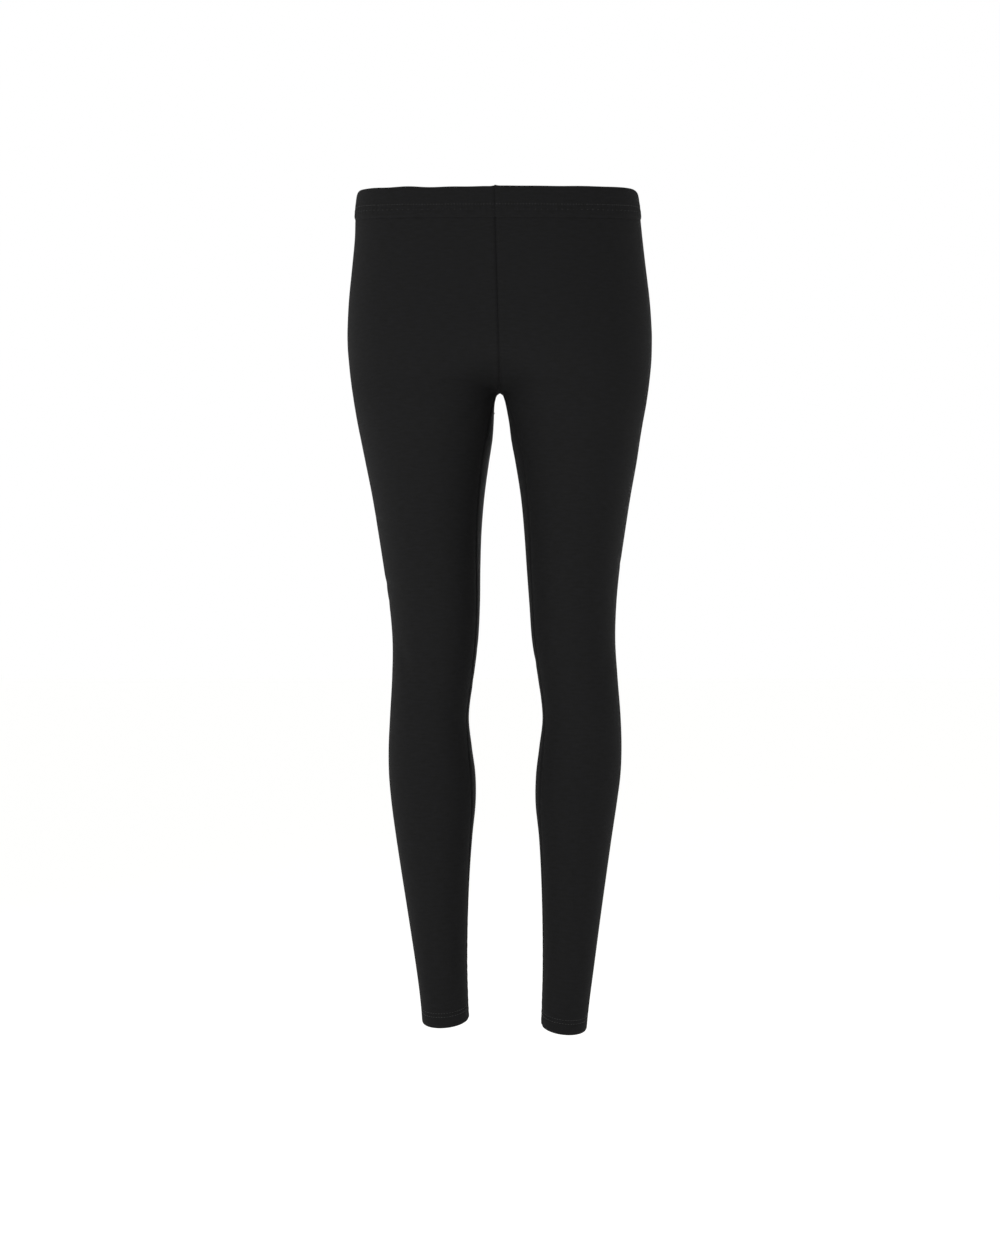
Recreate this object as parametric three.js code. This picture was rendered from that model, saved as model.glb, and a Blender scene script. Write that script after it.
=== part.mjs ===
// Women's ankle-length leggings in black stretch jersey, in their worn, filled-out shape with nobody inside.
// Millimetres, +Z up, front towards -Y. The origin is the centre of the waist opening, in the upper half of
// its elastic casing. Two leg panels make the garment. Each is one cut piece that wraps a leg from its front
// edge round to its back edge: the edges meet the other panel at the centre front and back seams, and each
// other at the inseam. The casing is the panels' own top, folded down over the elastic, so it has the same
// two seams.
import * as THREE from "three";

// Driving sizes of the cloth.
const CLOTH_WALL = 1.5;
const HEM_WALL = 2.6;
const HEM_TURN = 19;
const HEM_STEP = 1; // over which the wall thickens where the turned edge is sewn down
const HEM_ROUND = 1.2;
const HEM_ROUND_IN = 0.5;
const SEAM_GAP = 0.3;
const CASING_HEIGHT = 34;

// Where the panels start, where the legs part, and where each hem ends.
const CASING_TOP = 14; // at the front and back: the rim dips between them, over a share of the way round
const RIM_DIP = { depth: 5, reach: 0.08 };
const CASING_FOOT = CASING_TOP - CASING_HEIGHT;
const PANEL_TOP = CASING_FOOT - SEAM_GAP;
const CROTCH = -215;
const HEM = { right: -915.5, left: -919 };

// The waist leans with the body, higher at the back. The hems lie square to the shins.
const WAIST_LEAN = 0.165;
const HEM_LEAN_FORWARD = 0.15;
const HEM_LEAN_OUTWARD = 0.085;
const HEM_LEAN_REACH = 160;

// The left foot stands a little ahead, and the centre front seam leans to the right at the top.
const LEFT_STEP = 22;
const FRONT_SEAM_LEAN = 6;

// The seat's cleft is a soft trough along the centre back seam.
const CLEFT = { depth: 12, width: 26, height: -168, reach: 46 };

const NORMAL_STEP = 1e-3; // finite-difference step for the normals, mm

// The panel's columns span a half turn round the trunk down to this height, and a full turn from the crotch.
const WRAP_TOP = -105;
const EDGE_FOLLOW = 4;

// How finely the walls are divided, and how strongly the rows crowd towards the crotch.
const TRUNK_ROWS = 13;
const LEG_ROWS = 24;
const PANEL_COLUMNS = 26;
const TRUNK_CROWDING = 1.6;
const LEG_CROWDING = 1.6;

// Sections of the worn garment. outer and inner are half widths from the centre plane, right and left leg,
// and fullest is where the front and back stand furthest out, as a share of the way from inner to outer.
// front, back and axis are Y. bridge is the radius with which the cloth spans from one leg to the other. join
// is 1 where the legs share one trunk and 0 from the crotch down. turn is how far, in degrees, the inseam has
// moved forward from the innermost line of the leg. square is 2 for an ellipse, more for a squarer section.
const COLUMNS = [
  "height", "outerRight", "outerLeft", "innerRight", "innerLeft", "fullest", "front", "back", "axis",
  "bridge", "join", "turn", "square",
];
const SECTIONS = [
  [20, 157.9, 152.4, 0, 0, 0.14, -93, 93, 0, 26, 1, 0, 2.2],
  [-14, 161.4, 156.6, 0, 0, 0.17, -97, 99, 0, 28, 1, 0, 2.22],
  [-40, 162.3, 159.3, 0, 0, 0.21, -100, 105, 1, 31, 1, 0, 2.24],
  [-72, 165.3, 163.0, 0, 0, 0.26, -103, 114, 3, 35, 1, 0, 2.25],
  [-110, 169.1, 167.6, 0, 0, 0.32, -105, 123, 5, 39, 1, 0, 2.25],
  [-145, 170.8, 170.0, 0, 0, 0.37, -105, 127, 6, 39, 0.98, 0, 2.24],
  [-165, 170.4, 170.0, 0.4, 0.4, 0.4, -104, 126, 5, 35, 0.9, 0, 2.22],
  [-180, 169.0, 169.3, 1.3, 1.3, 0.42, -102, 123, 2, 28, 0.74, 0, 2.2],
  [-195, 167.2, 167.6, 3.3, 3.3, 0.44, -99, 118, -4, 19, 0.42, 0, 2.18],
  [-205, 165.7, 166.2, 5.0, 5.0, 0.453, -96.5, 113.5, -9, 12.8, 0.17, 0, 2.17],
  [-209, 165.1, 165.6, 5.8, 5.8, 0.459, -95.5, 111.5, -11, 10.4, 0.075, 0, 2.16],
  [-215, 164.1, 164.7, 6.9, 6.9, 0.467, -94, 108.5, -13, 6.9, 0, 0, 2.16],
  [-221, 163.2, 163.8, 7.6, 7.5, 0.475, -93, 106, -13, 5.9, 0, 6, 2.15],
  [-228, 162.2, 162.8, 7.9, 8.2, 0.483, -92, 103.5, -12, 5, 0, 12, 2.14],
  [-248, 159.0, 159.4, 8.3, 11.2, 0.5, -89.5, 98.5, -6, 4.4, 0, 21, 2.12],
  [-266, 155.6, 156.6, 9.4, 13.3, 0.5, -87, 95, -1, 4.2, 0, 25, 2.12],
  [-290, 150.9, 153.2, 12.8, 17.6, 0.5, -85, 92, 3, 4, 0, 27, 2.12],
  [-330, 142.9, 146.0, 17.6, 23.5, 0.5, -81, 88, 3, 2, 0, 26, 2.12],
  [-370, 136.2, 139.7, 20.7, 27.2, 0.5, -78, 82, 2, 0, 0, 25, 2.12],
  [-410, 129.9, 133.8, 21.9, 29.9, 0.5, -74, 77, 1, 0, 0, 23, 2.12],
  [-450, 123.8, 129.9, 22.4, 32.8, 0.5, -68, 71, 0, 0, 0, 21, 2.1],
  [-490, 120.3, 128.6, 24.4, 35.7, 0.5, -63, 64, -1, 0, 0, 20, 2.1],
  [-530, 120.6, 130.9, 29.2, 42.0, 0.5, -59, 55, -2, 0, 0, 18, 2.12],
  [-575, 123.1, 134.4, 34.8, 47.4, 0.5, -53, 50, 0, 0, 0, 17, 2.1],
  [-610, 124.9, 135.6, 31.5, 43.7, 0.5, -47, 55, 4, 0, 0, 23, 2.06],
  [-640, 124.7, 134.5, 27.6, 40.2, 0.5, -44, 61, 7, 0, 0, 26, 2.04],
  [-672, 122.0, 130.4, 27.3, 39.7, 0.5, -42, 62, 9, 0, 0, 24, 2.04],
  [-710, 116.9, 124.6, 31.0, 43.5, 0.5, -39, 58, 9, 0, 0, 18, 2.04],
  [-755, 110.0, 118.1, 34.2, 45.9, 0.5, -36, 50, 8, 0, 0, 13, 2.02],
  [-805, 102.0, 111.0, 36.1, 47.2, 0.5, -31, 42, 7, 0, 0, 10, 2],
  [-855, 94.2, 104.2, 36.6, 47.4, 0.5, -27, 37, 6, 0, 0, 9, 2],
  [-890, 89.6, 99.5, 35.8, 46.6, 0.5, -25, 35, 6, 0, 0, 9, 2],
  [-925, 86.6, 95.8, 34.2, 45.4, 0.5, -25, 36, 6, 0, 0, 9, 2],
];

// The casing's cross-section round the elastic, from its foot up the outside and down the inside.
// up is a share of the casing's height, out is how far it stands outside the body line.
const CASING_PROFILE = [
  { up: 0.0, out: 0.3 },
  { up: 0.03, out: 1.4 },
  { up: 0.2, out: 1.5 },
  { up: 0.5, out: 1.0 },
  { up: 0.85, out: 0.8 },
  { up: 0.96, out: 0.1 },
  { up: 1.0, out: -0.9 },
  { up: 0.96, out: -1.9 },
  { up: 0.85, out: -2.5 },
  { up: 0.2, out: -2.5 },
  { up: 0.0, out: -2.0 },
];

const clamp01 = (value) => Math.min(1, Math.max(0, value));
const smooth = (value) => clamp01(value) ** 2 * (3 - 2 * clamp01(value));

// One column of SECTIONS at a height, along a cubic through the neighbouring rows.
function sectionValue(name, height) {
  const column = COLUMNS.indexOf(name);
  const last = SECTIONS.length - 1;
  const below = SECTIONS.findIndex((row) => row[0] <= height);
  const i = Math.min(last - 1, Math.max(0, (below < 0 ? last : below) - 1));
  const slopeBetween = (a, b) =>
    (SECTIONS[b][column] - SECTIONS[a][column]) / (SECTIONS[b][0] - SECTIONS[a][0]);
  const slopeAt = (k) => slopeBetween(Math.max(0, k - 1), Math.min(last, k + 1));
  const [h0, h1] = [SECTIONS[i][0], SECTIONS[i + 1][0]];
  const span = h1 - h0;
  const u = (height - h0) / span;
  return (
    (2 * u ** 3 - 3 * u ** 2 + 1) * SECTIONS[i][column] +
    (u ** 3 - 2 * u ** 2 + u) * span * slopeAt(i) +
    (3 * u ** 2 - 2 * u ** 3) * SECTIONS[i + 1][column] +
    (u ** 3 - u ** 2) * span * slopeAt(i + 1)
  );
}

// The section of one side at a height: a rounded lobe that wraps the leg and, above the crotch, half the
// trunk. Across the body it is measured by the distance from a bar of the bridge's radius along the centre
// plane, so that the two lobes flow into each other.
function sectionAt(side, height) {
  const value = (name) => sectionValue(name, height);
  const label = side === "right" ? "Right" : "Left";
  const inTrunk = height > CROTCH;
  const outer = value("outer" + label);
  const bridge = Math.max(0, value("bridge"));
  const join = inTrunk ? clamp01(value("join")) : 0;
  const innerLine = value("inner" + label);
  const edge = inTrunk ? bridge : innerLine;
  const inner = Math.sqrt(Math.max(0, edge ** 2 - bridge ** 2));
  const lobeOuter = Math.hypot(outer, bridge);
  const middle = innerLine + value("fullest") * (lobeOuter - innerLine);
  return {
    height,
    outer,
    inner,
    bridge,
    middle,
    toOuter: lobeOuter - middle,
    toInner: (middle - edge) / (1 - join),
    wrap: (Math.PI / 2) * (1 + smooth((WRAP_TOP - height) / (WRAP_TOP - CROTCH))),
    front: value("front"),
    back: value("back"),
    axis: value("axis"),
    square: value("square"),
    turn: inTrunk ? 0 : THREE.MathUtils.degToRad(value("turn")),
  };
}

// How far across its lobe a point is: 0 where the lobe is fullest, 1 at its outer side, -1 at its inner side.
function acrossLobe(section, x) {
  const lobe = Math.hypot(x, section.bridge) - section.middle;
  return lobe / (lobe > 0 ? section.toOuter : section.toInner);
}

// How far a point is outside the figure's surface, as a level that is 0 on it.
function level(section, x, y) {
  const reach = y < section.axis ? section.axis - section.front : section.back - section.axis;
  const along = (y - section.axis) / reach;
  return Math.abs(acrossLobe(section, x)) ** section.square + Math.abs(along) ** section.square - 1;
}

// A point of the surface, for an angle round the leg: 0 at the outer side, negative towards the front.
function surfacePoint(section, angle) {
  const spread = (section.outer - section.inner) / (1 - Math.cos(section.wrap));
  const x = section.outer - spread * (1 - Math.cos(angle));
  const across = Math.min(1, Math.abs(acrossLobe(section, x)));
  const reach = (Math.sin(angle) < 0 ? section.front : section.back) - section.axis;
  const y = section.axis + reach * (1 - across ** section.square) ** (1 / section.square);
  return new THREE.Vector3(x, y, section.height);
}

// The outward normal, from the level's slope in the three directions.
function surfaceNormal(side, section, point) {
  const step = NORMAL_STEP;
  const above = sectionAt(side, section.height + step);
  const below = sectionAt(side, section.height - step);
  const slope = new THREE.Vector3(
    level(section, point.x + step, point.y) - level(section, point.x - step, point.y),
    level(section, point.x, point.y + step) - level(section, point.x, point.y - step),
    level(above, point.x, point.y) - level(below, point.x, point.y),
  );
  return slope.normalize();
}

// The trough along the centre back seam, as a depth into the body.
function cleftDepth(point) {
  if (point.y < 0) return 0;
  const across = Math.exp(-((point.x / CLEFT.width) ** 2));
  const along = Math.exp(-(((point.z - CLEFT.height) / CLEFT.reach) ** 2));
  return CLEFT.depth * across * along;
}

// Leans the waist and the hems, steps the left leg forward and slants the centre front seam.
function stand(side, section, point) {
  const outward = side === "right" ? -1 : 1;
  const trunk = clamp01((point.z - CROTCH) / (CASING_TOP - CROTCH));
  const shin = smooth((HEM[side] + HEM_LEAN_REACH - point.z) / HEM_LEAN_REACH);
  const down = smooth((CROTCH - point.z) / (CROTCH - HEM[side]));
  const legMiddle = (section.outer + section.inner) / 2;
  const ahead = point.y < 0 ? (point.y / section.front) ** 2 : 0;
  const x = outward * (point.x + (SEAM_GAP / 2) * (1 - point.x / section.outer));
  const y = point.y - (side === "left" ? LEFT_STEP * down : 0);
  const z =
    point.z +
    WAIST_LEAN * smooth(trunk) * point.y +
    shin * (HEM_LEAN_FORWARD * (point.y - section.axis) - HEM_LEAN_OUTWARD * (point.x - legMiddle));
  return new THREE.Vector3(x - FRONT_SEAM_LEAN * trunk * ahead, y, z);
}

// The angle round the leg of a share of the panel's width, 0 at its front edge and 1 at its back edge. Only
// the cloth near the edges follows the turn of the inseam.
function angleOf(section, share) {
  const round = 2 * share - 1;
  const halfGap = SEAM_GAP / 2 / section.toInner;
  return round * (section.wrap - halfGap) + section.turn * round ** EDGE_FOLLOW;
}

// A point of the cloth, moved out of the body line by the given distance.
function clothPoint(side, section, share, out) {
  const angle = angleOf(section, share);
  const point = surfacePoint(section, angle);
  const normal = surfaceNormal(side, section, point);
  point.addScaledVector(normal, out - cleftDepth(point));
  return stand(side, section, point);
}

// A closed solid from a grid of loops: every loop is a closed cross-section of the wall.
function solidFromLoops(loops, mirrored) {
  const around = loops[0].length;
  const positions = loops.flat().flatMap((p) => [p.x, p.y, p.z]);
  const triangles = [];
  const face = (a, b, c) => triangles.push(...(mirrored ? [a, c, b] : [a, b, c]));
  const quad = (a, b, c, d) => {
    face(a, b, c);
    face(a, c, d);
  };
  for (let i = 0; i + 1 < loops.length; i++)
    for (let j = 0; j < around; j++) {
      const next = (j + 1) % around;
      quad(i * around + j, (i + 1) * around + j, (i + 1) * around + next, i * around + next);
    }
  return { positions, triangles, quad, around };
}

function meshOf(name, positions, triangles, material) {
  const geometry = new THREE.BufferGeometry();
  geometry.setAttribute("position", new THREE.Float32BufferAttribute(positions, 3));
  geometry.setIndex(triangles);
  geometry.computeVertexNormals();
  const mesh = new THREE.Mesh(geometry, material);
  mesh.name = name;
  return mesh;
}

// Heights of the panel's rows: close together near the crotch, and a step where the turned hem begins.
function panelHeights(side) {
  const heights = [];
  for (let i = 0; i < TRUNK_ROWS; i++)
    heights.push(CROTCH + (PANEL_TOP - CROTCH) * (1 - i / TRUNK_ROWS) ** TRUNK_CROWDING);
  const hemTop = HEM[side] + HEM_TURN;
  for (let i = 0; i <= LEG_ROWS; i++)
    heights.push(CROTCH + (hemTop - CROTCH) * (i / LEG_ROWS) ** LEG_CROWDING);
  heights.push(hemTop - HEM_STEP, HEM[side] + HEM_ROUND, HEM[side]);
  return heights;
}

// One leg panel. Each row is a loop: along the outside from the front edge to the back edge, and back inside.
function legPanel(side, material) {
  const heights = panelHeights(side);
  const hemTop = HEM[side] + HEM_TURN;
  const loops = heights.map((height) => {
    const section = sectionAt(side, height);
    const turned = height <= hemTop - HEM_STEP;
    const edge = height === HEM[side] ? HEM_ROUND_IN : 0;
    const wall = turned ? HEM_WALL : CLOTH_WALL;
    const shares = Array.from({ length: PANEL_COLUMNS + 1 }, (_, j) => j / PANEL_COLUMNS);
    const outside = shares.map((share) => clothPoint(side, section, share, -edge));
    const inside = shares.map((share) => clothPoint(side, section, share, edge - wall));
    return [...outside, ...inside.reverse()];
  });
  const { positions, triangles, quad, around } = solidFromLoops(loops, side === "right");
  const last = (loops.length - 1) * around;
  for (let j = 0; j < PANEL_COLUMNS; j++) {
    const [a, b, c, d] = [j, j + 1, around - 2 - j, around - 1 - j];
    quad(a, b, c, d);
    quad(last + b, last + a, last + d, last + c);
  }
  return meshOf("leg_panel_" + side, positions, triangles, material);
}

// Half of the elastic casing: its cross-section carried along the waist from centre front to centre back.
function waistCasing(side, material) {
  const loops = Array.from({ length: PANEL_COLUMNS + 1 }, (_, i) => {
    const share = i / PANEL_COLUMNS;
    const dip = RIM_DIP.depth * Math.exp(-(((share - 0.5) / RIM_DIP.reach) ** 2));
    return CASING_PROFILE.map(({ up, out }) => {
      const section = sectionAt(side, CASING_FOOT + (CASING_HEIGHT - dip) * up);
      return clothPoint(side, section, share, out);
    });
  });
  const { positions, triangles, around } = solidFromLoops(loops, side === "right");
  const flat = THREE.ShapeUtils.triangulateShape(
    CASING_PROFILE.map(({ up, out }) => new THREE.Vector2(out, CASING_HEIGHT * up)),
    [],
  );
  const last = PANEL_COLUMNS * around;
  for (const [a, b, c] of flat) {
    const front = side === "right" ? [a, c, b] : [a, b, c];
    triangles.push(...front, ...front.toReversed().map((k) => last + k));
  }
  return meshOf("waist_casing_" + side, positions, triangles, material);
}

const jersey = new THREE.MeshStandardMaterial({ color: 0x1e1e1e, roughness: 0.85, metalness: 0 });
const casing = new THREE.MeshStandardMaterial({ color: 0x1f1f1f, roughness: 0.85, metalness: 0 });

const leggings = new THREE.Group();
for (const side of ["right", "left"]) {
  leggings.add(legPanel(side, jersey), waistCasing(side, casing));
}

export default leggings;
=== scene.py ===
# Women's low-rise, ankle-length leggings in black stretch jersey, in their worn shape with nobody inside.
# The front faces -Y and the waist opening's centre is the origin. Sizes are millimetres until a mesh is made.
import math
from types import SimpleNamespace

import bpy
import numpy as np
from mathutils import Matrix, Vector


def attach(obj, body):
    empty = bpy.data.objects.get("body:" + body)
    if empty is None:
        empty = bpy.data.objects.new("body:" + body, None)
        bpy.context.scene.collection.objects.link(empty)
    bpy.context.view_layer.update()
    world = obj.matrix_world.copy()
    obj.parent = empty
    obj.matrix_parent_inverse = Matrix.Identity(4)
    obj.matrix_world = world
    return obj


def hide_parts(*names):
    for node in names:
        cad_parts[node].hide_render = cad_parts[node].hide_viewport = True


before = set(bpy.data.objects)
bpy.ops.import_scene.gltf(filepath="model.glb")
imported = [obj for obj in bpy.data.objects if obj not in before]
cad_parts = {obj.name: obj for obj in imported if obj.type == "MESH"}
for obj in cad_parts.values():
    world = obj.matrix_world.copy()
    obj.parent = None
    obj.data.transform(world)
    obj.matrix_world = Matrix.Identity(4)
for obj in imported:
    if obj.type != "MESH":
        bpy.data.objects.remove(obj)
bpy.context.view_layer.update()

# The leg panels. Each is one piece of cotton and elastane jersey that wraps a whole leg, stretched over the
# figure. Its front and back edges are overlocked to the other panel along the centre front and back, and to
# each other along the inseam. The hem is turned to the inside.
CLOTH = 0.9
HEM_DOUBLED = 2.0
HEM_TURN = 19
HEM_ROUND = 0.5
CASING_HEIGHT = 34
CASING_TOP = 14
CASING_FOOT = CASING_TOP - CASING_HEIGHT
PANEL_TOP = CASING_FOOT + 1.2  # tucked into the casing
CROTCH = -215
HEM = {"right": -915.5, "left": -919}
OUTWARD = {"right": -1, "left": 1}

# The waist leans with the body, and the hems lie square to the shins. The left foot stands a little ahead.
WAIST_LEAN = 0.165
HEM_LEAN_FORWARD = 0.15
HEM_LEAN_OUTWARD = 0.085
HEM_LEAN_REACH = 160
LEFT_STEP = 22
FRONT_SEAM_LEAN = 6
CLEFT = {"depth": 12, "width": 26, "height": -168, "reach": 46}  # along the centre back seam

# The columns span a half turn round the trunk down to WRAP_TOP, and a full turn from the crotch. Only the
# cloth near the edges follows the turn of the inseam.
WRAP_TOP = -105
EDGE_FOLLOW = 4
SEAM_OVERLAP = 0.12  # the sewn edges press into each other

# Sections of the worn garment. outer and inner are half widths from the centre plane, and fullest is where
# the front and back stand furthest out, as a share of the way from inner to outer. bridge is the radius with
# which the cloth spans from leg to leg. join is 1 where the legs share one trunk and 0 from the crotch down.
# turn is how far the inseam has moved forward, in degrees. square is 2 for an ellipse.
COLUMNS = (
    "height", "outer_right", "outer_left", "inner_right", "inner_left", "fullest", "front", "back", "axis",
    "bridge", "join", "turn", "square",
)
SECTIONS = np.array([
    (20, 157.9, 152.4, 0, 0, 0.14, -93, 93, 0, 26, 1, 0, 2.2),
    (-14, 161.4, 156.6, 0, 0, 0.17, -97, 99, 0, 28, 1, 0, 2.22),
    (-40, 162.3, 159.3, 0, 0, 0.21, -100, 105, 1, 31, 1, 0, 2.24),
    (-72, 165.3, 163.0, 0, 0, 0.26, -103, 114, 3, 35, 1, 0, 2.25),
    (-110, 169.1, 167.6, 0, 0, 0.32, -105, 123, 5, 39, 1, 0, 2.25),
    (-145, 170.8, 170.0, 0, 0, 0.37, -105, 127, 6, 39, 0.98, 0, 2.24),
    (-165, 170.4, 170.0, 0.4, 0.4, 0.4, -104, 126, 5, 35, 0.9, 0, 2.22),
    (-180, 169.0, 169.3, 1.3, 1.3, 0.42, -102, 123, 2, 28, 0.74, 0, 2.2),
    (-195, 167.2, 167.6, 3.3, 3.3, 0.44, -99, 118, -4, 19, 0.42, 0, 2.18),
    (-205, 165.7, 166.2, 5.0, 5.0, 0.453, -96.5, 113.5, -9, 12.8, 0.17, 0, 2.17),
    (-209, 165.1, 165.6, 5.8, 5.8, 0.459, -95.5, 111.5, -11, 10.4, 0.075, 0, 2.16),
    (-215, 164.1, 164.7, 6.9, 6.9, 0.467, -94, 108.5, -13, 6.9, 0, 0, 2.16),
    (-221, 163.2, 163.8, 7.6, 7.5, 0.475, -93, 106, -13, 5.9, 0, 6, 2.15),
    (-228, 162.2, 162.8, 7.9, 8.2, 0.483, -92, 103.5, -12, 5, 0, 12, 2.14),
    (-248, 159.0, 159.4, 8.3, 11.2, 0.5, -89.5, 98.5, -6, 4.4, 0, 21, 2.12),
    (-266, 155.6, 156.6, 9.4, 13.3, 0.5, -87, 95, -1, 4.2, 0, 25, 2.12),
    (-290, 150.9, 153.2, 12.8, 17.6, 0.5, -85, 92, 3, 4, 0, 27, 2.12),
    (-330, 142.9, 146.0, 17.6, 23.5, 0.5, -81, 88, 3, 2, 0, 26, 2.12),
    (-370, 136.2, 139.7, 20.7, 27.2, 0.5, -78, 82, 2, 0, 0, 25, 2.12),
    (-410, 129.9, 133.8, 21.9, 29.9, 0.5, -74, 77, 1, 0, 0, 23, 2.12),
    (-450, 123.8, 129.9, 22.4, 32.8, 0.5, -68, 71, 0, 0, 0, 21, 2.1),
    (-490, 120.3, 128.6, 24.4, 35.7, 0.5, -63, 64, -1, 0, 0, 20, 2.1),
    (-530, 120.6, 130.9, 29.2, 42.0, 0.5, -59, 55, -2, 0, 0, 18, 2.12),
    (-575, 123.1, 134.4, 34.8, 47.4, 0.5, -53, 50, 0, 0, 0, 17, 2.1),
    (-610, 124.9, 135.6, 31.5, 43.7, 0.5, -47, 55, 4, 0, 0, 23, 2.06),
    (-640, 124.7, 134.5, 27.6, 40.2, 0.5, -44, 61, 7, 0, 0, 26, 2.04),
    (-672, 122.0, 130.4, 27.3, 39.7, 0.5, -42, 62, 9, 0, 0, 24, 2.04),
    (-710, 116.9, 124.6, 31.0, 43.5, 0.5, -39, 58, 9, 0, 0, 18, 2.04),
    (-755, 110.0, 118.1, 34.2, 45.9, 0.5, -36, 50, 8, 0, 0, 13, 2.02),
    (-805, 102.0, 111.0, 36.1, 47.2, 0.5, -31, 42, 7, 0, 0, 10, 2),
    (-855, 94.2, 104.2, 36.6, 47.4, 0.5, -27, 37, 6, 0, 0, 9, 2),
    (-890, 89.6, 99.5, 35.8, 46.6, 0.5, -25, 35, 6, 0, 0, 9, 2),
    (-925, 86.6, 95.8, 34.2, 45.4, 0.5, -25, 36, 6, 0, 0, 9, 2),
])


def smooth(value):
    value = np.clip(value, 0, 1)
    return value * value * (3 - 2 * value)


def along_sections(name, height):
    """One column of SECTIONS at each height, along a cubic through the neighbouring rows."""
    rising = SECTIONS[::-1, 0]
    values = SECTIONS[::-1, COLUMNS.index(name)]
    last = len(rising) - 1
    rows = np.arange(last + 1)
    before = np.maximum(rows - 1, 0)
    after = np.minimum(rows + 1, last)
    slopes = (values[after] - values[before]) / (rising[after] - rising[before])
    i = np.clip(np.searchsorted(rising, height, side="right") - 1, 0, last - 1)
    span = rising[i + 1] - rising[i]
    u = (height - rising[i]) / span
    return (
        (2 * u**3 - 3 * u**2 + 1) * values[i]
        + (u**3 - 2 * u**2 + u) * span * slopes[i]
        + (3 * u**2 - 2 * u**3) * values[i + 1]
        + (u**3 - u**2) * span * slopes[i + 1]
    )


def section_at(side, height):
    """The worn section of one side: a rounded lobe round the leg and, above the crotch, half the trunk."""
    def value(name):
        return along_sections(name, height)

    in_trunk = height > CROTCH
    outer = value("outer_" + side)
    inner_line = value("inner_" + side)
    bridge = np.maximum(0, value("bridge"))
    join = np.where(in_trunk, np.clip(value("join"), 0, 1 - 1e-9), 0)
    edge = np.where(in_trunk, bridge, inner_line)
    lobe_outer = np.hypot(outer, bridge)
    middle = inner_line + value("fullest") * (lobe_outer - inner_line)
    return SimpleNamespace(
        height=height,
        outer=outer,
        inner=np.sqrt(np.maximum(0, edge**2 - bridge**2)),
        bridge=bridge,
        middle=middle,
        to_outer=lobe_outer - middle,
        to_inner=(middle - edge) / (1 - join),
        wrap=math.pi / 2 * (1 + smooth((WRAP_TOP - height) / (WRAP_TOP - CROTCH))),
        front=value("front"),
        back=value("back"),
        axis=value("axis"),
        square=value("square"),
        turn=np.where(in_trunk, 0, np.radians(value("turn"))),
    )


def body_line(side, height, share):
    """Points of the worn surface. share runs round the panel, 0 at its front edge and 1 at its back edge."""
    s = section_at(side, height)
    turned = 2 * share - 1
    angle = turned * (s.wrap + SEAM_OVERLAP / 2 / s.to_inner) + s.turn * turned**EDGE_FOLLOW
    spread = (s.outer - s.inner) / (1 - np.cos(s.wrap))
    x = s.outer - spread * (1 - np.cos(angle))
    lobe = np.hypot(x, s.bridge) - s.middle
    across = np.minimum(1, np.abs(lobe / np.where(lobe > 0, s.to_outer, s.to_inner)))
    reach = np.where(np.sin(angle) < 0, s.front, s.back) - s.axis
    y = s.axis + reach * (1 - across**s.square) ** (1 / s.square)
    trunk = np.clip((height - CROTCH) / (CASING_TOP - CROTCH), 0, 1)
    shin = smooth((HEM[side] + HEM_LEAN_REACH - height) / HEM_LEAN_REACH)
    down = smooth((CROTCH - height) / (CROTCH - HEM[side]))
    ahead = np.where(y < 0, (y / s.front) ** 2, 0)
    lean = HEM_LEAN_FORWARD * (y - s.axis) - HEM_LEAN_OUTWARD * (x - (s.outer + s.inner) / 2)
    z = height + WAIST_LEAN * smooth(trunk) * y + shin * lean
    cleft = np.where(y > 0, CLEFT["depth"], 0) * np.exp(-((x / CLEFT["width"]) ** 2))
    cleft = cleft * np.exp(-(((height - CLEFT["height"]) / CLEFT["reach"]) ** 2))
    x = OUTWARD[side] * (x - SEAM_OVERLAP / 2 * (1 - x / s.outer)) - FRONT_SEAM_LEAN * trunk * ahead
    y = y - cleft - (LEFT_STEP * down if side == "left" else 0)
    return np.stack([x, y, z], axis=-1)


def facing(side, height, share):
    """The outward normals of the worn surface."""
    around_step = 2e-4
    up_step = 0.05
    ahead = body_line(side, height, np.minimum(1, share + around_step))
    around = ahead - body_line(side, height, np.maximum(0, share - around_step))
    up = body_line(side, height + up_step, share) - body_line(side, height - up_step, share)
    normal = OUTWARD[side] * np.cross(around, up)
    return normal / np.linalg.norm(normal, axis=-1, keepdims=True)


def lengths(points, axis):
    """How far along a grid's rows or columns each point lies."""
    steps = np.linalg.norm(np.diff(points, axis=axis), axis=-1)
    start = np.zeros_like(np.take(steps, [0], axis=axis))
    return np.cumsum(np.concatenate([start, steps], axis=axis), axis=axis)


def make_mesh(name, points, faces, flat=None):
    """A smooth mesh object in metres, with a UV map in metres where the cloth's own lengths are given."""
    mesh = bpy.data.meshes.new(name)
    mesh.from_pydata((np.asarray(points) / 1000).tolist(), [], faces)
    mesh.polygons.foreach_set("use_smooth", [True] * len(mesh.polygons))
    if flat is not None:
        corners = np.zeros(len(mesh.loops), dtype=np.int32)
        mesh.loops.foreach_get("vertex_index", corners)
        layer = mesh.uv_layers.new(name="cloth")
        layer.data.foreach_set("uv", (np.asarray(flat)[corners] / 1000).astype(np.float32).ravel())
    mesh.update()
    piece = bpy.data.objects.new(name, mesh)
    bpy.context.scene.collection.objects.link(piece)
    return piece


def grid_faces(rows, columns, closed=False, start=0):
    """The quads of a grid of points, closed round its columns where asked."""
    i, j = np.meshgrid(np.arange(rows - 1), np.arange(columns if closed else columns - 1), indexing="ij")
    after = (j + 1) % columns
    row = i * columns
    below = row + columns
    return start + np.stack([row + j, row + after, below + after, below + j], -1).reshape(-1, 4)


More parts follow.
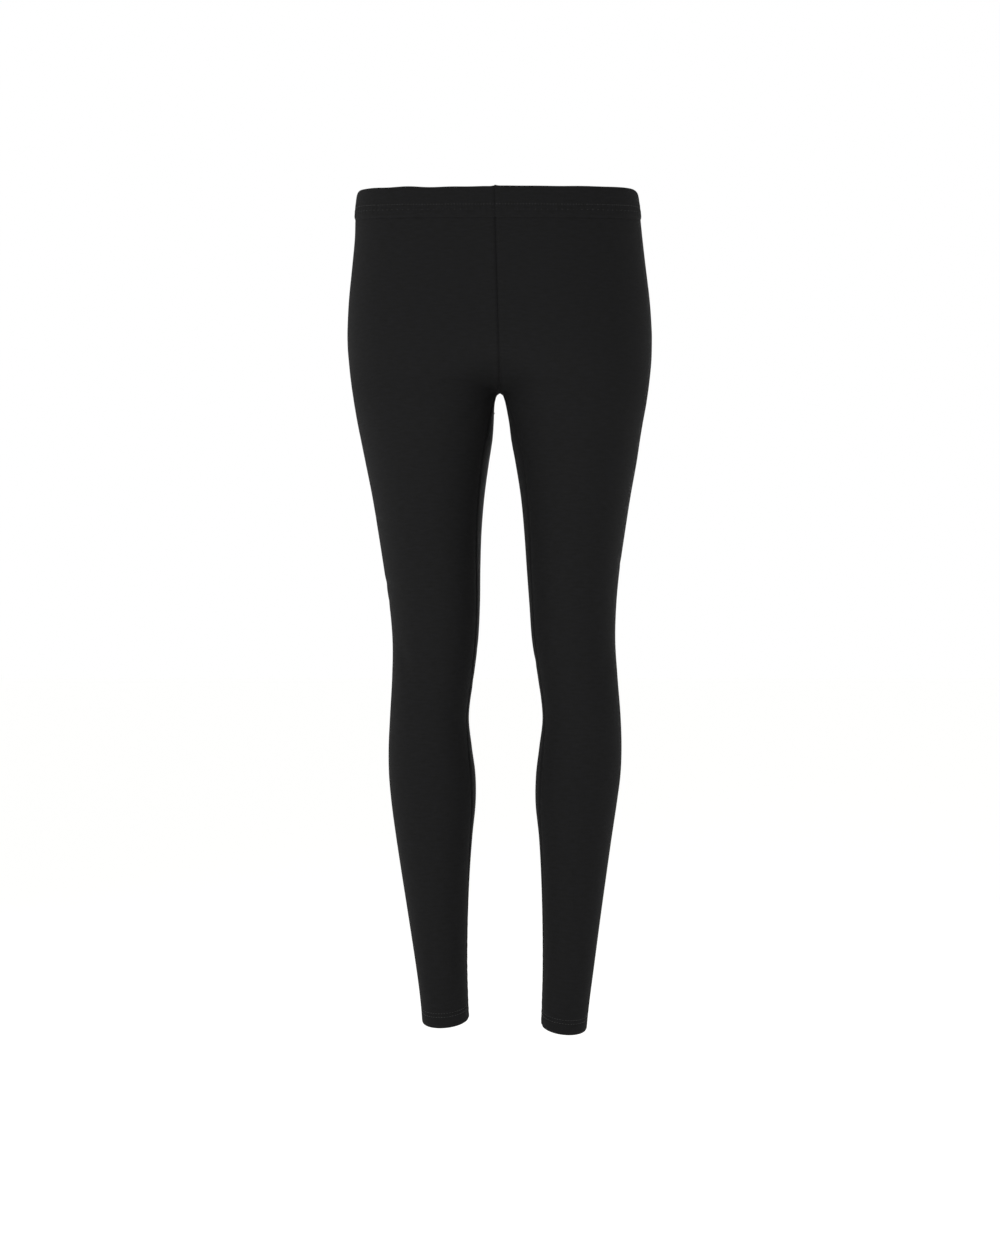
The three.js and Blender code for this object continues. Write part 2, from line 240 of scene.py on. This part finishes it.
# Soft creases, listed one by one. share is the place round the panel, and slant turns the crease's line, in
# degrees. Those of the outer thighs and the dimples at the knees show from the front. The others lie behind
# the knees, under the seat, in the crotch and behind the ankles.
CREASES = [
    dict(side="right", height=-357, share=0.44, length=16, width=5, depth=0.9, slant=12),
    dict(side="right", height=-428, share=0.45, length=20, width=6, depth=1.1, slant=8),
    dict(side="right", height=-446, share=0.47, length=12, width=4, depth=0.5, slant=-6),
    dict(side="right", height=-513, share=0.37, length=20, width=13, depth=1.6, slant=62),
    dict(side="left", height=-402, share=0.46, length=15, width=5, depth=0.7, slant=-10),
    dict(side="left", height=-520, share=0.36, length=17, width=12, depth=1.1, slant=58),
    dict(side="right", height=-505, share=0.76, length=46, width=6, depth=1.8, slant=5),
    dict(side="right", height=-527, share=0.70, length=34, width=5, depth=1.5, slant=-9),
    dict(side="right", height=-541, share=0.80, length=39, width=7, depth=2.0, slant=7),
    dict(side="right", height=-566, share=0.74, length=28, width=5, depth=1.0, slant=-4),
    dict(side="left", height=-499, share=0.74, length=40, width=6, depth=1.6, slant=-7),
    dict(side="left", height=-519, share=0.79, length=45, width=6, depth=2.0, slant=6),
    dict(side="left", height=-540, share=0.71, length=31, width=5, depth=1.2, slant=-3),
    dict(side="left", height=-559, share=0.77, length=36, width=7, depth=1.5, slant=9),
    dict(side="right", height=-214, share=0.80, length=42, width=9, depth=2.0, slant=-12),
    dict(side="right", height=-236, share=0.84, length=27, width=6, depth=0.9, slant=-20),
    dict(side="left", height=-212, share=0.81, length=39, width=9, depth=1.9, slant=-13),
    dict(side="left", height=-231, share=0.86, length=24, width=6, depth=1.0, slant=-18),
    dict(side="right", height=-236, share=0.09, length=30, width=9, depth=1.3, slant=-34),
    dict(side="left", height=-232, share=0.10, length=26, width=8, depth=1.0, slant=-31),
    dict(side="right", height=-858, share=0.80, length=22, width=6, depth=0.8, slant=8),
    dict(side="right", height=-874, share=0.70, length=18, width=5, depth=0.6, slant=-7),
    dict(side="left", height=-866, share=0.77, length=24, width=6, depth=0.8, slant=-6),
]
CREASE_RIM = 0.8  # how much of a low ridge each trough throws up beside it


def crease_depth(side, height, share, girth):
    """How far the creases sink the cloth of one panel."""
    depth = 0
    for crease in CREASES:
        if crease["side"] == side:
            slant = math.radians(crease["slant"])
            beside = (share - crease["share"]) * girth
            above = height - crease["height"]
            along = (beside * math.cos(slant) + above * math.sin(slant)) / crease["length"]
            across = ((above * math.cos(slant) - beside * math.sin(slant)) / crease["width"]) ** 2
            depth = depth + crease["depth"] * (1 - CREASE_RIM * across) * np.exp(-across - along**2)
    return depth


TRUNK_ROWS = 84
LEG_ROWS = 176
HEM_ROWS = 22
PANEL_COLUMNS = 140
CROTCH_CROWDING = {"trunk": 1.3, "leg": 1.25}
EDGE_CROWDING = 0.8
ROLL = {"depth": 1.5, "width": 1.7}  # how the cloth turns in at a seam
PUCKER = {"depth": 0.28, "reach": 6, "pitch": 8.5}  # small waves that the seam's thread draws up
PUCKER_DRIFT = (31, 17)  # lengths over which the waves come nearer and further apart
HEM_STITCH_ROWS = (12, 16)  # above the hem's edge
HEM_TUNNEL = {"depth": 0.3, "width": 0.9}
HEM_EDGE = 1.2  # the height over which the hem's edge is rounded
HEM_STEP = 1.5  # the height over which the wall thickens to the turned hem's


def panel_rows(side):
    """Heights of the panel's rows, from the casing to the hem's edge, close together near the crotch."""
    down = 1 - np.arange(TRUNK_ROWS) / TRUNK_ROWS
    trunk = CROTCH + (PANEL_TOP - CROTCH) * down ** CROTCH_CROWDING["trunk"]
    hem_top = HEM[side] + HEM_TURN
    leg = CROTCH + (hem_top - CROTCH) * (np.arange(LEG_ROWS) / LEG_ROWS) ** CROTCH_CROWDING["leg"]
    return np.concatenate([trunk, leg, np.linspace(hem_top, HEM[side], HEM_ROWS)])


def panel_shares():
    """Shares of the panel's columns, close together at its edges."""
    t = np.linspace(-1, 1, PANEL_COLUMNS + 1)
    return 0.5 + 0.5 * ((1 - EDGE_CROWDING) * t + EDGE_CROWDING * np.sin(math.pi / 2 * t))


def panel_grid(side):
    """The face of one panel: points, normals, and its own lengths round and down."""
    height, share = np.meshgrid(panel_rows(side), panel_shares(), indexing="ij")
    points = body_line(side, height, share)
    normals = facing(side, height, share)
    around = lengths(points, 1)
    down = lengths(points[:, PANEL_COLUMNS // 2 : PANEL_COLUMNS // 2 + 1], 0) + np.zeros_like(around)
    girth = around[:, -1:]
    from_edge = np.minimum(around, girth - around)
    uneven = np.sin(down / PUCKER_DRIFT[0]) + np.sin(down / PUCKER_DRIFT[1] + 2)
    ripple = np.sin(2 * math.pi * down / PUCKER["pitch"] + uneven)
    out = -ROLL["depth"] * np.exp(-((from_edge / ROLL["width"]) ** 2))
    out = out - PUCKER["depth"] * ripple * np.exp(-((from_edge / PUCKER["reach"]) ** 2))
    out = out - crease_depth(side, height, share, girth)
    for above_hem in HEM_STITCH_ROWS:
        tunnel = (height - HEM[side] - above_hem) / HEM_TUNNEL["width"]
        out = out - HEM_TUNNEL["depth"] * np.exp(-(tunnel**2))
    return SimpleNamespace(
        height=height, share=share, points=points + normals * out[..., None], normals=normals,
        around=around, down=down,
    )


def leg_panel(side):
    """One panel as a closed shell: its face, its back a cloth's thickness inside, and its four edges."""
    face = panel_grid(side)
    above_hem = face.height - HEM[side]
    doubled = smooth((HEM_TURN - above_hem) / HEM_STEP)
    wall = CLOTH + (HEM_DOUBLED - CLOTH) * doubled
    rounding = HEM_ROUND * (1 - smooth(above_hem / HEM_EDGE))
    outside = face.points - face.normals * rounding[..., None]
    inside = face.points - face.normals * (wall - rounding)[..., None]
    rows, columns = face.height.shape
    points = np.concatenate([outside.reshape(-1, 3), inside.reshape(-1, 3)])
    flat = np.stack([face.around, -face.down], -1).reshape(-1, 2)
    count = rows * columns
    front = grid_faces(rows, columns)
    back = grid_faces(rows, columns, start=count)[:, ::-1]
    edge = np.concatenate([
        np.arange(columns),
        np.arange(1, rows) * columns + columns - 1,
        (rows - 1) * columns + np.arange(columns - 2, -1, -1),
        np.arange(rows - 2, 0, -1) * columns,
    ])
    following = np.roll(edge, -1)
    rim = np.stack([edge, edge + count, following + count, following], -1)
    faces = np.concatenate([front, back, rim])
    if side == "left":
        faces = faces[:, ::-1]
    name = "leg_panel_" + side + "_jersey"
    return face, make_mesh(name, points, faces.tolist(), np.concatenate([flat, flat]))


def linear(colour):
    """An sRGB hex colour as linear RGBA."""
    parts = [int(colour[i : i + 2], 16) / 255 for i in (1, 3, 5)]
    return [p / 12.92 if p <= 0.04045 else ((p + 0.055) / 1.055) ** 2.4 for p in parts] + [1]


def add_node(tree, kind, settings=None, values=None, links=None):
    """Adds one node, with its settings, the values of its inputs, and what its inputs are linked from."""
    node = tree.nodes.new("ShaderNode" + kind)
    for name, setting in (settings or {}).items():
        setattr(node, name, setting)
    for name, value in (values or {}).items():
        node.inputs[name].default_value = value
    for name, source in (links or {}).items():
        tree.links.new(source, node.inputs[name])
    return node


def new_material(name, sockets):
    """A material with its Principled shader's own sockets set. Returns it with its tree and shader."""
    material = bpy.data.materials.new(name)
    material.use_nodes = True
    shader = material.node_tree.nodes["Principled BSDF"]
    for socket, value in sockets.items():
        shader.inputs[socket].default_value = value
    return material, material.node_tree, shader


# Cotton and elastane single jersey, reactive-dyed black: a matt, very dark, neutral cloth with fine wales, a
# short nap that catches light at grazing angles, and faint streaks along the courses where the yarn varies.
# The wales are drawn at 0.75 mm and the courses at 0.6 mm, a little coarser than the real ones, to show.
WALE = 0.00075
COURSE = 0.0006
YARN_STREAKS = (90, 420, 1)  # streaks in a metre, round the leg and down it
NAP = 1600  # fibres in a metre
JERSEY_DARK = "#181818"
JERSEY_LIGHT = "#1c1c1d"


def jersey(name, sheen):
    material, tree, shader = new_material(name, {
        "Roughness": 0.86,
        "IOR": 1.5,
        "Specular IOR Level": 0.07,
        "Sheen Weight": sheen,
        "Sheen Roughness": 0.42,
        "Sheen Tint": linear("#8c8c8e"),
    })
    cloth = add_node(tree, "UVMap", {"uv_map": "cloth"}).outputs["UV"]
    parts = add_node(tree, "SeparateXYZ", links={"Vector": cloth}).outputs

    def maths(operation, a, b=None):
        node = add_node(tree, "Math", {"operation": operation})
        for i, value in enumerate((a, b)):
            if isinstance(value, (int, float)):
                node.inputs[i].default_value = value
            elif value is not None:
                tree.links.new(value, node.inputs[i])
        return node.outputs[0]

    wale = maths("DIVIDE", parts["X"], WALE)
    from_middle = maths("ABSOLUTE", maths("SUBTRACT", maths("FRACT", wale), 0.5))
    slanted = maths("ADD", maths("DIVIDE", parts["Y"], COURSE), from_middle)
    loop = maths("SINE", maths("MULTIPLY", slanted, 2 * math.pi))
    ridge = maths("MULTIPLY", from_middle, -2)
    knit = maths("ADD", ridge, maths("MULTIPLY", loop, 0.3))
    streaks = add_node(tree, "Mapping", values={"Scale": YARN_STREAKS}, links={"Vector": cloth}).outputs[0]
    uneven = {"Scale": 1, "Detail": 3, "Roughness": 0.6}
    yarn = add_node(tree, "TexNoise", values=uneven, links={"Vector": streaks})
    tone = add_node(tree, "ValToRGB", links={"Fac": yarn.outputs[0]})
    tone.color_ramp.elements[0].position = 0.3
    tone.color_ramp.elements[0].color = linear(JERSEY_DARK)
    tone.color_ramp.elements[1].position = 0.7
    tone.color_ramp.elements[1].color = linear(JERSEY_LIGHT)
    tree.links.new(tone.outputs["Color"], shader.inputs["Base Color"])
    fibres = {"Scale": NAP, "Detail": 4, "Roughness": 0.7}
    nap = add_node(tree, "TexNoise", values=fibres, links={"Vector": cloth})
    surface = maths("ADD", knit, maths("MULTIPLY", nap.outputs[0], 1.4))
    bump = add_node(tree, "Bump", values={"Strength": 0.55, "Distance": 0.00012}, links={"Height": surface})
    tree.links.new(bump.outputs[0], shader.inputs["Normal"])
    return material


JERSEY_SHEEN = 0.03
panel_jersey = jersey("cotton elastane single jersey, black", JERSEY_SHEEN)
panels = {}
for side in ("right", "left"):
    face, piece = leg_panel(side)
    piece.data.materials.append(panel_jersey)
    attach(piece, "root")
    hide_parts("leg_panel_" + side)
    panels[side] = SimpleNamespace(face=face, piece=piece, on_it=[])

# The waist casing. The panels' own top is folded to the inside over a 20 mm elastic and sewn down. It is in
# two halves, joined by the centre front and back seams, and stands out a little over the elastic.
CASING_COLUMNS = 260
CASING_STITCH_ROWS = (14.6, 8.9)  # above the casing's foot
CASING_TUNNEL = {"depth": 0.4, "width": 0.8}
CASING_PROFILE = [
    dict(up=0.0, out=-2.0), dict(up=-0.005, out=-0.9), dict(up=0.0, out=-0.1), dict(up=0.03, out=0.4),
    dict(up=0.08, out=0.95), dict(up=0.17, out=1.2), dict(up=0.5, out=1.15), dict(up=0.8, out=1.0),
    dict(up=0.92, out=0.65), dict(up=0.98, out=0.0), dict(up=1.0, out=-0.9), dict(up=0.98, out=-1.7),
    dict(up=0.92, out=-2.3), dict(up=0.8, out=-2.5), dict(up=0.5, out=-2.4), dict(up=0.3, out=-2.5),
    dict(up=0.1, out=-2.5), dict(up=0.03, out=-2.45),
]
PROFILE_STEPS = 4
OUTER_CLOTH = {"out": -0.9, "blend": 0.6}  # what stands out more than this is the casing's outside
RIM_DIP = {"depth": 5, "reach": 0.08}  # at the sides, over a share of the way round
RIM_RISE = {"right": 0.6, "left": 1.5}
RIM_WAVE = {"right": 0.4, "left": 0.12}
RIM_WAVE_LENGTHS = (13, 7.3)
SEAM_NIB = {"height": 0.9, "reach": 3}  # where the centre seams' bulk lifts the rim
CASING_ROLL = {"depth": 1.0, "width": 1.6}  # how it turns in at the centre seams
CASING_PUCKER = {"depth": 0.16, "reach": 5, "pitch": 6.8, "drift": 23, "uneven": 1.6}
COLUMN_CROWDING = 0.65


def closed_curve(values, steps):
    """A smooth closed curve through the given values, with that many steps between each two."""
    values = np.array(values, float)
    before, after, beyond = (np.roll(values, -k, axis=0) for k in (-1, 1, 2))
    t = (np.arange(steps) / steps)[:, None]
    pieces = (
        2 * values[:, None]
        + (after - before)[:, None] * t
        + (2 * before - 5 * values + 4 * after - beyond)[:, None] * t**2
        + (3 * values - before - 3 * after + beyond)[:, None] * t**3
    )
    return pieces.reshape(-1, values.shape[1]) / 2


def casing_out(out, height_up, around, girth):
    """How far the casing's cloth stands out: its profile, its stitch tunnels, puckers and rolled ends."""
    from_end = np.minimum(around, girth - around)
    outside = smooth((out - OUTER_CLOTH["out"]) / OUTER_CLOTH["blend"])
    uneven = CASING_PUCKER["uneven"] * np.sin(around / CASING_PUCKER["drift"])
    pucker = CASING_PUCKER["depth"] * np.sin(2 * math.pi * around / CASING_PUCKER["pitch"] + uneven)
    for row in CASING_STITCH_ROWS:
        near = np.exp(-(((height_up - row) / CASING_TUNNEL["width"]) ** 2))
        wide = np.exp(-(((height_up - row) / CASING_PUCKER["reach"]) ** 2))
        out = out - outside * (CASING_TUNNEL["depth"] * near + pucker * wide)
    return out - outside * CASING_ROLL["depth"] * np.exp(-((from_end / CASING_ROLL["width"]) ** 2))


def casing_height(side, up, share, around, girth):
    """Heights on the casing: its rim dips at the sides, waves a little, and is lifted by the seams' bulk."""
    dip = RIM_DIP["depth"] * np.exp(-(((share - 0.5) / RIM_DIP["reach"]) ** 2))
    wave = np.sin(around / RIM_WAVE_LENGTHS[0]) + 0.7 * np.sin(around / RIM_WAVE_LENGTHS[1] + 1)
    nib = np.exp(-((np.minimum(around, girth - around) / SEAM_NIB["reach"]) ** 2))
    rise = RIM_RISE[side] + RIM_WAVE[side] * wave + SEAM_NIB["height"] * nib
    return CASING_FOOT + up * (1 - dip / CASING_HEIGHT) + rise * smooth(up / CASING_HEIGHT) ** 2


def waist_casing(side):
    """Half of the casing: its closed profile carried from centre front to centre back."""
    profile = closed_curve([(p["up"] * CASING_HEIGHT, p["out"]) for p in CASING_PROFILE], PROFILE_STEPS)
    t = np.linspace(-1, 1, CASING_COLUMNS + 1)
    shares = 0.5 + 0.5 * ((1 - COLUMN_CROWDING) * t + COLUMN_CROWDING * np.sin(math.pi / 2 * t))
    share, up = np.meshgrid(shares, profile[:, 0], indexing="ij")
    out = np.broadcast_to(profile[:, 1], up.shape)
    around = lengths(body_line(side, np.zeros_like(share), share), 0)
    height = casing_height(side, up, share, around, around[-1:])
    points = body_line(side, height, share)
    distance = casing_out(out, up, around, around[-1:])
    points = points + facing(side, height, share) * distance[..., None]
    columns, rows = up.shape
    faces = grid_faces(columns, rows, closed=True)
    first = np.arange(rows)
    last = (columns - 1) * rows + np.arange(rows)
    middles = np.stack([points[0].mean(0), points[-1].mean(0)])
    count = columns * rows
    caps = [[count, a, b] for a, b in zip(np.roll(first, -1), first)]
    caps += [[count + 1, a, b] for a, b in zip(last, np.roll(last, -1))]
    wrapped = np.concatenate([[0], np.cumsum(np.linalg.norm(np.diff(profile, axis=0), axis=1))])
    flat = np.stack([around, np.broadcast_to(wrapped, around.shape)], -1).reshape(-1, 2)
    flat = np.concatenate([flat, flat[[0, -1]]])
    faces = faces.tolist() + caps
    if side == "left":
        faces = [face[::-1] for face in faces]
    everything = np.concatenate([points.reshape(-1, 3), middles])
    return make_mesh("waist_casing_" + side + "_folded", everything, faces, flat)


casing_jersey = jersey("cotton elastane single jersey over elastic, black", JERSEY_SHEEN)
for side in ("right", "left"):
    piece = waist_casing(side)
    piece.data.materials.append(casing_jersey)
    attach(piece, "root")
    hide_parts("waist_casing_" + side)
    panels[side].on_it.append(piece)

# The seam allowances. Both panels' raw edges are overlocked together and lie to one side on the inside: along
# the centre front and back they show through the waist opening, and along each inseam through the hem.
ALLOWANCE = 7
ALLOWANCE_THICKNESS = 1.5
OVERLOCK_PITCH = 2.6
OVERLOCK_THREAD = 0.32
OVERLOCK_BITE = 4.2  # how far the thread reaches in from the raw edge
THREAD_SIDES = 5
ALLOWANCE_STEPS = (-1.6, 0.2, 1.2, 3.0, 5.0, 6.4, ALLOWANCE)  # from across the seam to the raw edge


def inside_line(face, row, distance, depth, from_back):
    """A point inside the panel: so far round from its front or back edge, and so deep behind its face."""
    around = face.around[row]
    points = face.points[row]
    target = around[-1] - distance if from_back else distance
    point = [np.interp(target, around, points[:, k]) for k in range(3)]
    normal = [np.interp(target, around, face.normals[row, :, k]) for k in range(3)]
    beyond = points[-1] - points[-3] if from_back else points[0] - points[2]
    beyond = beyond / np.linalg.norm(beyond) * max(0, -distance)
    return np.array(point) + beyond - depth * np.array(normal)


def thread_tube(path, radius):
    """A round thread along a path: its points and faces."""
    path = np.asarray(path, float)
    along = np.gradient(path, axis=0)
    along /= np.linalg.norm(along, axis=1, keepdims=True)
    reference = np.where(np.abs(along[:, 2:]) < 0.8, [[0.0, 0, 1]], [[1.0, 0, 0]])
    side_way = np.cross(along, reference)
    side_way /= np.linalg.norm(side_way, axis=1, keepdims=True)
    other_way = np.cross(along, side_way)
    turn = 2 * math.pi * np.arange(THREAD_SIDES) / THREAD_SIDES
    ring = side_way[:, None] * np.cos(turn)[:, None] + other_way[:, None] * np.sin(turn)[:, None]
    points = (path[:, None] + radius * ring).reshape(-1, 3)
    faces = grid_faces(len(path), THREAD_SIDES, closed=True)[:, ::-1].tolist()
    faces.append(list(range(THREAD_SIDES)))
    faces.append([len(points) - 1 - k for k in range(THREAD_SIDES)])
    return points, faces


def join_threads(name, tubes):
    """Many threads as one mesh."""
    points = []
    faces = []
    for tube_points, tube_faces in tubes:
        start = len(points)
        points.extend(tube_points.tolist())
        faces.extend([[start + k for k in face] for face in tube_faces])
    return make_mesh(name, points, faces)


def seam_allowance(name, face, first, last, from_back):
    """The allowance along one edge of a panel, between two of its rows, and the overlock thread round it."""
    rows = range(first, last + 1)
    loops = []
    flat = []
    for row in rows:
        near = [inside_line(face, row, d, CLOTH + 0.05, from_back) for d in ALLOWANCE_STEPS]
        far = [inside_line(face, row, d, CLOTH + ALLOWANCE_THICKNESS, from_back) for d in ALLOWANCE_STEPS]
        loops.append(near + far[::-1])
        flat += [(d, -face.down[row, 0]) for d in ALLOWANCE_STEPS + ALLOWANCE_STEPS[::-1]]
    around = len(loops[0])
    count = len(loops) * around
    faces = grid_faces(len(loops), around, closed=True).tolist()
    faces.append(list(range(around))[::-1])
    faces.append(list(range(count - around, count)))
    length = face.down[last, 0] - face.down[first, 0]
    bite = ALLOWANCE - OVERLOCK_BITE
    raw_edge = ALLOWANCE + 0.25
    on_top = ALLOWANCE_THICKNESS + 0.1
    turns = ((bite, on_top), (raw_edge, on_top - 0.05), (raw_edge, 0.3), (bite + 1, on_top))
    path = []
    for k in range(int(length / OVERLOCK_PITCH * len(turns))):
        at = face.down[first, 0] + k * OVERLOCK_PITCH / len(turns)
        row = int(np.clip(np.searchsorted(face.down[:, 0], at), first + 1, last))
        share = (at - face.down[row - 1, 0]) / (face.down[row, 0] - face.down[row - 1, 0])
        distance, depth = turns[k % len(turns)]
        ends = [inside_line(face, r, distance, CLOTH + depth, from_back) for r in (row - 1, row)]
        path.append(ends[0] * (1 - share) + ends[1] * share)
    allowance = make_mesh(name, np.concatenate([np.array(loop) for loop in loops]), faces, flat)
    thread = join_threads(name + "_overlock", [thread_tube(path, OVERLOCK_THREAD / 2)])
    return allowance, thread


# Spun polyester sewing thread, dyed near-black: a matt two-ply twist, a little paler than the cloth.
PLY_TWIST = 900  # a wave scale that puts the plies 0.35 mm apart


def thread_material(name, colour):
    material, tree, shader = new_material(name, {
        "Base Color": linear(colour),
        "Roughness": 0.7,
        "IOR": 1.5,
        "Specular IOR Level": 0.25,
        "Sheen Weight": 0.15,
        "Sheen Roughness": 0.5,
    })
    place = add_node(tree, "TexCoord").outputs["Object"]
    twist = {"Scale": PLY_TWIST, "Distortion": 2, "Detail": 1}
    plies = add_node(tree, "TexWave", values=twist, links={"Vector": place}).outputs[1]
    bump = add_node(tree, "Bump", values={"Strength": 0.4, "Distance": 0.00006}, links={"Height": plies})
    tree.links.new(bump.outputs[0], shader.inputs["Normal"])
    return material


overlock_thread = thread_material("spun polyester overlock thread, black", "#232323")
cover_thread = thread_material("spun polyester coverstitch thread, charcoal", "#3a3a3a")


def finish_piece(piece, material, side):
    piece.data.materials.append(material)
    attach(piece, "root")
    panels[side].on_it.append(piece)


def row_at(side, height):
    return int(np.argmin(np.abs(panels[side].face.height[:, 0] - height)))


for name, side, top, foot, from_back in (
    ("front_seam_and_left_inseam", "left", PANEL_TOP, HEM["left"] + HEM_TURN, False),
    ("back_seam", "left", PANEL_TOP, CROTCH, True),
    ("right_inseam", "right", CROTCH, HEM["right"] + HEM_TURN, False),
):
    first = row_at(side, top)
    last = row_at(side, foot)
    allowance, thread = seam_allowance(name + "_allowance", panels[side].face, first, last, from_back)
    finish_piece(allowance, panel_jersey, side)
    finish_piece(thread, overlock_thread, side)

# The coverstitch that holds the casing and the hems: two rows of straight stitches outside, and inside them
# one looper thread that runs to and fro between the rows.
STITCH_PITCH = 3.2
STITCH_LENGTH = 2.2
STITCH_THREAD = 0.4
STITCH_ARCH = (-0.35, 0.1, 0.2, 0.1, -0.35)  # how the thread rises out of the cloth and dips again
LOOPER_THREAD = 0.3
LOOPER_OVERHANG = 0.6  # how far the looper reaches past each row
HEM_LOOPER_OUT = -HEM_DOUBLED - 0.1
CASING_LOOPER_OUT = -2.62
SEAM_CLEARANCE = 1  # from a seam to the nearest stitch
LOOPER_CLEARANCE = 1.2
CASING_OUTSIDE = {"up": 0.02, "out": -0.95}  # the profile's outside is above and beyond this
ROW_SAMPLES = 801


def along_row(side, height, distances, out):
    """Points so far round a panel from its front edge, at one height, moved out by the given distances."""
    share = np.linspace(0, 1, ROW_SAMPLES)
    around = lengths(body_line(side, np.full_like(share, height), share), 0)
    share = np.interp(distances, around, share)
    if height > CASING_FOOT:
        heights = casing_height(side, height - CASING_FOOT, share, distances, around[-1])
    else:
        heights = np.full_like(share, height)
    return body_line(side, heights, share) + facing(side, heights, share) * np.asarray(out)[..., None]


def girth_at(side, height):
    share = np.linspace(0, 1, ROW_SAMPLES)
    return lengths(body_line(side, np.full_like(share, height), share), 0)[-1]


def stitch_row(side, height, out):
    """One row of straight stitches, as short arched threads that dip into the cloth at both ends."""
    girth = girth_at(side, height)
    count = int((girth - 2 * SEAM_CLEARANCE) / STITCH_PITCH)
    starts = SEAM_CLEARANCE + STITCH_PITCH * np.arange(count)
    steps = np.linspace(0, STITCH_LENGTH, len(STITCH_ARCH))
    distances = starts[:, None] + steps
    lift = out(distances, girth) + np.array(STITCH_ARCH)
    points = along_row(side, height, distances, lift)
    return [thread_tube(path, STITCH_THREAD / 2) for path in points]


def looper(side, low, high, out):
    """The looper thread inside, to and fro between the two rows."""
    girth = girth_at(side, (low + high) / 2)
    distances = np.arange(LOOPER_CLEARANCE, girth - LOOPER_CLEARANCE, STITCH_PITCH / 2)
    outs = np.full_like(distances, out)
    edges = [along_row(side, height, distances, outs) for height in (low, high)]
    lower = np.arange(len(distances)) % 2 == 0
    return [thread_tube(np.where(lower[:, None], *edges), LOOPER_THREAD / 2)]


def casing_face(up):
    """How far out the casing's outside stands at one height above its foot."""
    outside = [p for p in CASING_PROFILE if all(p[k] >= CASING_OUTSIDE[k] for k in CASING_OUTSIDE)]
    out = np.interp(up / CASING_HEIGHT, [p["up"] for p in outside], [p["out"] for p in outside])
    return lambda around, girth: casing_out(out + np.zeros_like(around), up, around, girth)


def hem_face(around, girth):
    """How far out the bottom of the hem's stitch tunnel lies."""
    return np.full_like(around, -HEM_TUNNEL["depth"])


for side in ("right", "left"):
    waist = []
    for up in CASING_STITCH_ROWS:
        waist += stitch_row(side, CASING_FOOT + up, casing_face(up))
    low, high = (CASING_FOOT + up for up in sorted(CASING_STITCH_ROWS))
    waist += looper(side, low - LOOPER_OVERHANG, high + LOOPER_OVERHANG, CASING_LOOPER_OUT)
    finish_piece(join_threads("waist_coverstitch_" + side, waist), cover_thread, side)
    hem = []
    for above_hem in HEM_STITCH_ROWS:
        hem += stitch_row(side, HEM[side] + above_hem, hem_face)
    low, high = (HEM[side] + above_hem for above_hem in HEM_STITCH_ROWS)
    hem += looper(side, low - LOOPER_OVERHANG, high + LOOPER_OVERHANG, HEM_LOOPER_OUT)
    finish_piece(join_threads("hem_coverstitch_" + side, hem), cover_thread, side)

# The studio: a pale floor below the hems, a pale surround, one large soft light in front of the thighs and
# its match behind, and a long soft light on each side, which gives both edges of the legs a thin paler rim.
# The floor is matt white paint that mirrors nothing. It glows a little, so that it stays pale under the hems.
# The studio's sizes and places are in metres.
FLOOR_HEIGHT = -1.03
bpy.ops.mesh.primitive_plane_add(size=40, location=(0, 0, FLOOR_HEIGHT))
floor = bpy.context.object
floor.name = "floor"
painted, _, painted_shader = new_material("matt white painted floor", {
    "Base Color": linear("#f4f4f2"),
    "Roughness": 0.9,
    "Specular IOR Level": 0.1,
    "Emission Color": (1, 1, 1, 1),
    "Emission Strength": 0.5,
})
floor.data.materials.append(painted)

world = bpy.data.worlds.new("pale studio")
world.use_nodes = True
surround = world.node_tree.nodes["Background"]  # white to look at, and dimmer as a light
surround.inputs["Color"].default_value = (1, 1, 1, 1)
seen = add_node(world.node_tree, "LightPath").outputs["Is Camera Ray"]
strength = add_node(world.node_tree, "MapRange", values={"To Min": 0.55, "To Max": 1}, links={"Value": seen})
world.node_tree.links.new(strength.outputs[0], surround.inputs["Strength"])
bpy.context.scene.world = world


def soft_light(name, place, aim, width, height, watts, spread=180):
    light = bpy.data.lights.new(name, "AREA")
    light.shape = "RECTANGLE"
    light.size = width
    light.size_y = height
    light.energy = watts
    light.spread = math.radians(spread)
    lamp = bpy.data.objects.new(name, light)
    bpy.context.scene.collection.objects.link(lamp)
    lamp.location = place
    lamp.rotation_mode = "QUATERNION"
    direction = [a - b for a, b in zip(aim, place)]
    lamp.rotation_quaternion = Vector(direction).to_track_quat("-Z", "Y")


THIGHS = (0, 0, -0.33)
KNEES = (0, 0, -0.45)
soft_light("key light", (-1.0, -1.65, 0.0), THIGHS, width=1.1, height=1.1, watts=2.1, spread=60)
soft_light("back light", (0.3, 1.9, 0.0), THIGHS, width=1.1, height=1.1, watts=2.1, spread=60)
soft_light("left rim light", (-1.6, 0.9, -0.4), KNEES, width=0.5, height=1.8, watts=3)
soft_light("right rim light", (1.6, 0.9, -0.4), KNEES, width=0.5, height=1.8, watts=2)

# The camera looks level at the middle of the legs, as far off as the photo's own view.
CAMERA_DISTANCE = 2.4
CAMERA_HEIGHT = -0.4732
SENSOR = 36
VIEW_HEIGHT = 1.4  # metres of the garment's own plane that fill the image's long side
lens = bpy.data.cameras.new("camera")
lens.sensor_width = SENSOR
lens.lens = SENSOR * CAMERA_DISTANCE / VIEW_HEIGHT
camera = bpy.data.objects.new("camera", lens)
bpy.context.scene.collection.objects.link(camera)
camera.location = (0, -CAMERA_DISTANCE, CAMERA_HEIGHT)
camera.rotation_euler = (math.pi / 2, 0, 0)
bpy.context.scene.camera = camera
bpy.context.scene.view_settings.view_transform = "Standard"
